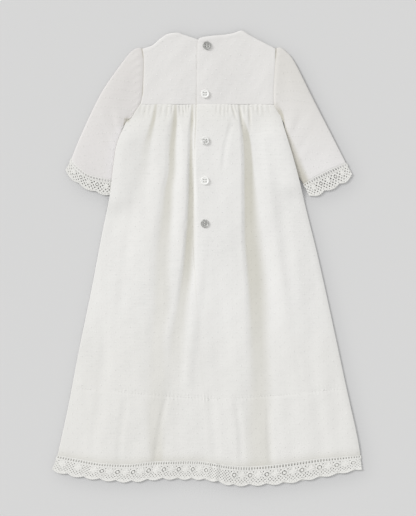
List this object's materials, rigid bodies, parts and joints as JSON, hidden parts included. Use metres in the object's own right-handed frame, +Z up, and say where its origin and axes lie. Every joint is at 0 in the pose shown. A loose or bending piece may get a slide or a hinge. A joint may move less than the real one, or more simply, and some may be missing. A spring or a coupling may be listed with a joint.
{
  "type": "christening gown",
  "caption": "Long-sleeved infant christening gown laid flat, with a yoke, gathered skirt, button back and scalloped lace at the cuffs and hem.",
  "frame": {"origin": "on the surface the gown lies on, under the middle of its outline", "axes": "+X to the right across the buttoned back, +Y up the garment to the neck, +Z up from the surface"},
  "size_m": [0.466, 0.6831, 0.0109],
  "materials": {
    "cloth": "matte ivory cotton with small woven tufts",
    "lace": "matte ivory cotton lace",
    "pearl": "satin grey-white shell"
  },
  "bodies": {
    "root": {"yoke_front": "cloth", "yoke_back_left": "cloth", "yoke_back_right": "cloth", "skirt_front": "cloth", "skirt_back_left": "cloth", "skirt_back_right": "cloth", "sleeve_left": "cloth", "sleeve_right": "cloth", "cuff_lace_left_over": "lace", "cuff_lace_left_under": "lace", "cuff_lace_right_over": "lace", "cuff_lace_right_under": "lace", "hem_lace_front": "lace", "hem_lace_back": "lace", "button_1": "pearl", "button_2": "pearl", "button_3": "pearl", "button_4": "pearl", "button_5": "pearl"}
  },
  "joints": []
}
